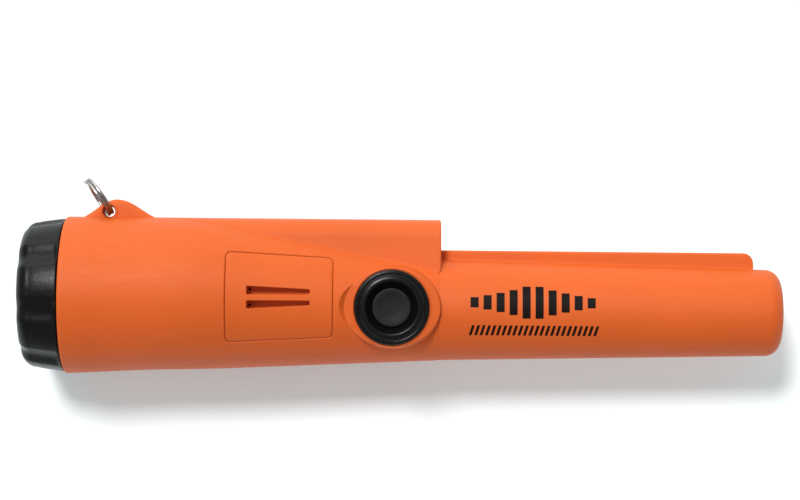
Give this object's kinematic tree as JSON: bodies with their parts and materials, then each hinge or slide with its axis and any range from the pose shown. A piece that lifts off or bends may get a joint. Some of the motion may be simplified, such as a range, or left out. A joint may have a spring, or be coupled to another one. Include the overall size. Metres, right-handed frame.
{
  "type": "pinpointer probe",
  "caption": "Handheld metal-detecting pinpointer probe with a lobed screw-off battery cap, press button, speaker cover, split ring and ribbed probe tube.",
  "frame": {"origin": "on the flat land under the handle, below the axis of the battery cap's thread", "axes": "+X from the battery cap to the probe's tip, +Y to the spine and the lanyard lug, +Z to the button"},
  "size_m": [0.229, 0.0593, 0.0482],
  "materials": {
    "orange_shell": "fine moulded texture, satin",
    "black_cap": "fine moulded texture, semi-gloss",
    "black_button": "soft satin",
    "bezel": "semi-gloss",
    "seal_rubber": "smooth",
    "foam": "open cell, dull",
    "steel": "bright",
    "contact_metal": "nickel plated",
    "heavy_alloy": "sintered, dull",
    "battery_jacket": "smooth",
    "inner_plastic": "plain moulded",
    "laminate": "solder mask",
    "paper": "pressed fibre",
    "ferrite": "ground",
    "copper": "enamelled wire",
    "former": "plain moulded",
    "lens": "clear"
  },
  "bodies": {
    "handle": {"handle_housing": "orange_shell", "speaker_cover": "orange_shell", "probe_tube": "orange_shell", "tube_o_ring": "seal_rubber", "button_bezel": "bezel", "button_spring": "steel", "battery": "battery_jacket", "battery_stud": "contact_metal", "battery_cup": "contact_metal", "battery_sleeve": "inner_plastic", "contact_plate": "laminate", "contact_clip": "contact_metal", "contact_stud": "contact_metal", "speaker_gasket": "foam", "speaker_frame": "inner_plastic", "speaker_cone": "paper", "speaker_magnet": "contact_metal", "circuit_board": "laminate", "board_tray": "inner_plastic", "board_screw_rear": "contact_metal", "board_screw_middle": "contact_metal", "board_screw_front": "contact_metal", "control_chip": "inner_plastic", "reservoir_capacitor": "contact_metal", "switch_body": "inner_plastic", "vibration_motor": "contact_metal", "led_lamp": "lens", "led_lens": "lens", "coil_former": "former", "ferrite_core": "ferrite", "receive_winding": "copper", "transmit_winding": "copper", "nose_cushion": "foam", "rod_cushion": "foam"},
    "cap_carrier": {"cap_pressure_pad": "foam"},
    "cap": {"battery_cap": "black_cap", "cap_o_ring": "seal_rubber"},
    "button": {"button_cap": "black_button", "switch_plunger": "contact_metal"},
    "key_ring": {"split_ring": "steel"},
    "motor_rotor": {"motor_shaft": "steel", "eccentric_weight": "heavy_alloy"}
  },
  "joints": [
    {"name": "cap_withdraw", "type": "slide", "parent": "handle", "child": "cap_carrier", "axis": [-1, 0, 0], "range_m": [0, 0.012]},
    {"name": "cap_turn", "type": "hinge", "parent": "cap_carrier", "child": "cap", "pos_m": [-0.05, 0, 0.0244], "axis": [-1, 0, 0], "range_deg": [0, 1440]},
    {"name": "button_press", "type": "slide", "parent": "handle", "child": "button", "axis": [0, 0, -1], "range_m": [0, 0.0008], "stiffness_N_per_m": 600, "deforming": ["button_spring"]},
    {"name": "ring_swing", "type": "hinge", "parent": "handle", "child": "key_ring", "pos_m": [-0.0345, 0.0254, 0.0244], "axis": [0, 0, 1], "range_deg": [-60, 25]},
    {"name": "motor_spin", "type": "hinge", "parent": "handle", "child": "motor_rotor", "pos_m": [0.044, -0.002, 0.0204], "axis": [1, 0, 0], "continuous": true}
  ],
  "couplings": [
    {"joint": "cap_withdraw", "follows": "cap_turn", "m_per_rad": 0.00047746}
  ]
}
